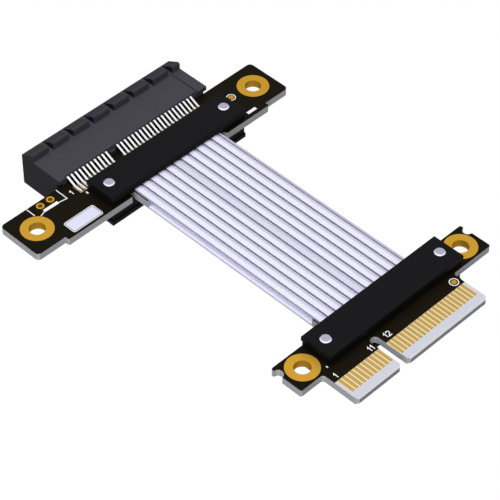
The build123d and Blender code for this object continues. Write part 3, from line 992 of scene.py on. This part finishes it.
@dataclass
class Studio:
    """The pale floor, the soft lights and the camera at the photograph's angle.

    The eye and the aim are millimetres in the object's own frame, the roll is in degrees, the lens
    and sensor are in millimetres, and the floor's drop too. All other lengths are in metres.
    """

    eye: Place = (-213.432, -208.748, 302.58)
    aim: Place = (-4.486, -4.628, 6.0)
    roll: float = 0.588
    lens: float = 159.817
    sensor: float = 36.0
    clip_start: float = 0.01
    clip_end: float = 50
    floor_size: float = 4.0
    floor_drop: float = 0.05
    floor_colour: str = "6c6c70"
    camera_white: float = 0.96
    ground_white: float = 1.04
    world_strength: float = 0.2
    key_place: Place = (-0.12, 0.0, 0.85)
    key_size: float = 0.6
    key_power: float = 7.0
    fill_place: Place = (-0.6, -0.35, 0.14)
    fill_size: float = 0.25
    fill_power: float = 0.5

    def camera(self) -> None:
        """Places the camera: it looks from the eye to the aim and is rolled about that line."""
        data = bpy.data.cameras.new("camera")
        data.lens = self.lens
        data.sensor_width = self.sensor
        data.clip_start = self.clip_start
        data.clip_end = self.clip_end
        camera = put("camera", data)
        eye = Vector(self.eye) * MILLIMETRE
        look = (Vector(self.aim) * MILLIMETRE - eye).to_track_quat("-Z", "Y").to_matrix()
        turned = look @ Matrix.Rotation(math.radians(self.roll), 3, "Z")
        camera.matrix_world = Matrix.Translation(eye) @ turned.to_4x4()
        bpy.context.scene.camera = camera

    @staticmethod
    def seen_white(tree: bpy.types.NodeTree) -> bpy.types.NodeSocket:
        """One for camera, glossy and transmission rays, which see a plain white studio.

        Args:
            tree: the material's or world's tree.

        Returns:
            The share's socket.
        """
        path = add_node(tree, "ShaderNodeLightPath")
        share = path.outputs["Is Camera Ray"]
        for kind in ("Is Glossy Ray", "Is Transmission Ray"):
            share = socket_math(tree, "MAXIMUM", share, path.outputs[kind])
        return share

    def floor(self) -> None:
        """Lays a wide floor that keeps the object's shadow, looks white and is clear from below."""
        half = self.floor_size / 2
        low = -self.floor_drop * MILLIMETRE
        square = [(-half, -half, low), (half, -half, low), (half, half, low), (-half, half, low)]
        mesh = bpy.data.meshes.new("studio_floor")
        mesh.from_pydata(square, [], [(0, 1, 2, 3)])
        floor = put("studio_floor", mesh)
        material = bpy.data.materials.new("studio_floor_paper")
        tree = empty_tree(material)
        paper = add_node(tree, "ShaderNodeBsdfDiffuse", {"Color": linear(self.floor_colour)})
        glow = {"Color": linear("ffffff"), "Strength": self.ground_white}
        white = add_node(tree, "ShaderNodeEmission", glow)
        above = mixed_shader(
            tree, product(tree, self.seen_white(tree), self.camera_white), paper, white
        )
        below = add_node(tree, "ShaderNodeNewGeometry").outputs["Backfacing"]
        seen = mixed_shader(tree, below, above, add_node(tree, "ShaderNodeBsdfTransparent"))
        add_node(tree, "ShaderNodeOutputMaterial", {"Surface": seen.outputs["Shader"]})
        mesh.materials.append(material)

    def world(self) -> None:
        """Surrounds the object with a soft even light, white where it is seen."""
        world = bpy.data.worlds.new("studio_world")
        bpy.context.scene.world = world
        tree = empty_tree(world)
        white = linear("ffffff")
        soft, plain = (
            add_node(tree, "ShaderNodeBackground", {"Color": white, "Strength": strength})
            for strength in (self.world_strength, 1.0)
        )
        mixed = mixed_shader(tree, self.seen_white(tree), soft, plain)
        add_node(tree, "ShaderNodeOutputWorld", {"Surface": mixed.outputs["Shader"]})

    def lamp(self, name: str, place: Place, size: float, power: float) -> None:
        """Hangs a square soft light that faces the object.

        Args:
            name: the light's name.
            place: where it hangs, in metres.
            size: its side in metres.
            power: its power in watts.
        """
        data = bpy.data.lights.new(name, "AREA")
        data.shape = "SQUARE"
        data.size = size
        data.energy = power
        lamp = put(name, data)
        lamp.location = place
        lamp.rotation_euler = (-Vector(place)).to_track_quat("-Z", "Y").to_euler()

    def build(self) -> None:
        """Sets up the camera, the floor, the world, the lights and the view transform."""
        self.camera()
        self.floor()
        self.world()
        self.lamp("key_light", self.key_place, self.key_size, self.key_power)
        self.lamp("fill_light", self.fill_place, self.fill_size, self.fill_power)
        bpy.context.scene.view_settings.view_transform = "Standard"


def node_names(*words: str) -> list[str]:
    """The CAD nodes whose names hold any of the words, in order."""
    return sorted(name for name in FRAME["nodes"] if any(word in name for word in words))


def dress_nodes() -> None:
    """Gives every CAD node its finish; a later row replaces an earlier one's."""
    finishes = (
        (["plug_board"], BoardFinish("lacquered_plug_board", PlugEnd.mask_end)),
        (["slot_board"], BoardFinish("lacquered_slot_board")),
        (node_names("_ring", "test_pad", "core_pads"), PAD_GOLD),
        (node_names("solder_pads"), WETTED_GOLD),
        (node_names("fingers"), FINGER_GOLD),
        (node_names("contacts"), LEAD_TIN),
        (node_names("rivet"), RIVET_METAL),
        (node_names("cover"), COVER_PLASTIC),
        (["slot_housing"], SLOT_PLASTIC),
        (node_names("core_ends"), CORE_COPPER),
        (node_names("cable_strip"), JACKET),
        (["cable_strip_upper_01"], OUTER_JACKET),
        (["cable_strip_upper_06"], DULL_JACKET),
        (["cable_strip_lower_01"], LOWER_JACKET),
        (node_names("cable_edge"), EDGE_JACKET),
    )
    for names, finish in finishes:
        finish_nodes(names, finish.make())


def main() -> None:
    """Builds the whole scene in order."""
    logging.basicConfig(level=logging.INFO, format="%(name)s %(message)s")
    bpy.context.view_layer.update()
    Studio().build()
    dress_nodes()
    ink = PRINT_INK.make()
    copper = MASKED_COPPER.make()
    PlugEnd().build(ink, copper)
    SlotEnd().build(ink, copper)
    FootSolder().build(SOLDER.make())


if __name__ == "__main__":
    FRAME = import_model()
    main()
